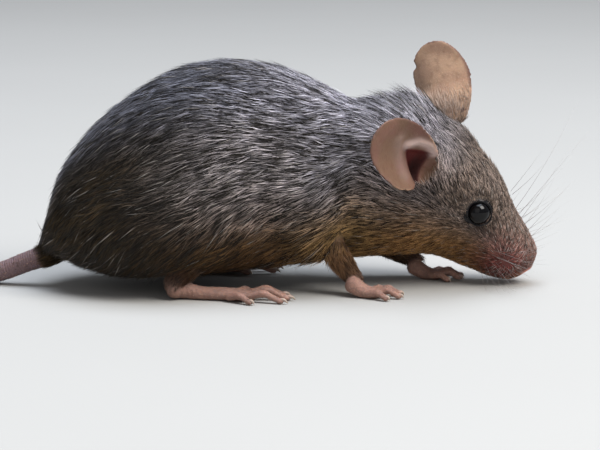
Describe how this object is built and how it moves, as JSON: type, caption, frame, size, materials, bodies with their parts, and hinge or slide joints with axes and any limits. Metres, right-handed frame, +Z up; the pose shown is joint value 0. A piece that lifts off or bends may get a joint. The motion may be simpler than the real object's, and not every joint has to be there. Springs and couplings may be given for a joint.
{
  "type": "house mouse",
  "caption": "House mouse model, standing with a hunched back, head held low and tipped to its right, round ears and a long thin tail on the floor.",
  "frame": {"origin": "middle of the whole in plan, on the floor that the feet and the tail rest on", "axes": "+X from rump to nose, +Y to the mouse's left, +Z up"},
  "size_m": [0.1254, 0.0614, 0.0341],
  "materials": {
    "coat": "short grey-brown banded fur",
    "bare_skin": "soft pink-brown skin, faintly scaled",
    "ear_skin": "thin tan skin with a fine down",
    "eye": "wet black"
  },
  "bodies": {
    "root": {"trunk": "coat", "neck": "coat", "head": "coat", "hindleg_right": "coat", "hindleg_left": "coat", "foreleg_right": "coat", "foreleg_left": "coat", "hindfoot_right": "bare_skin", "hindfoot_left": "bare_skin", "forefoot_right": "bare_skin", "forefoot_left": "bare_skin", "tail_base": "bare_skin", "tail_middle": "bare_skin", "tail_tip": "bare_skin", "ear_right": "ear_skin", "ear_left": "ear_skin", "eye_right": "eye", "eye_left": "eye"}
  },
  "joints": []
}
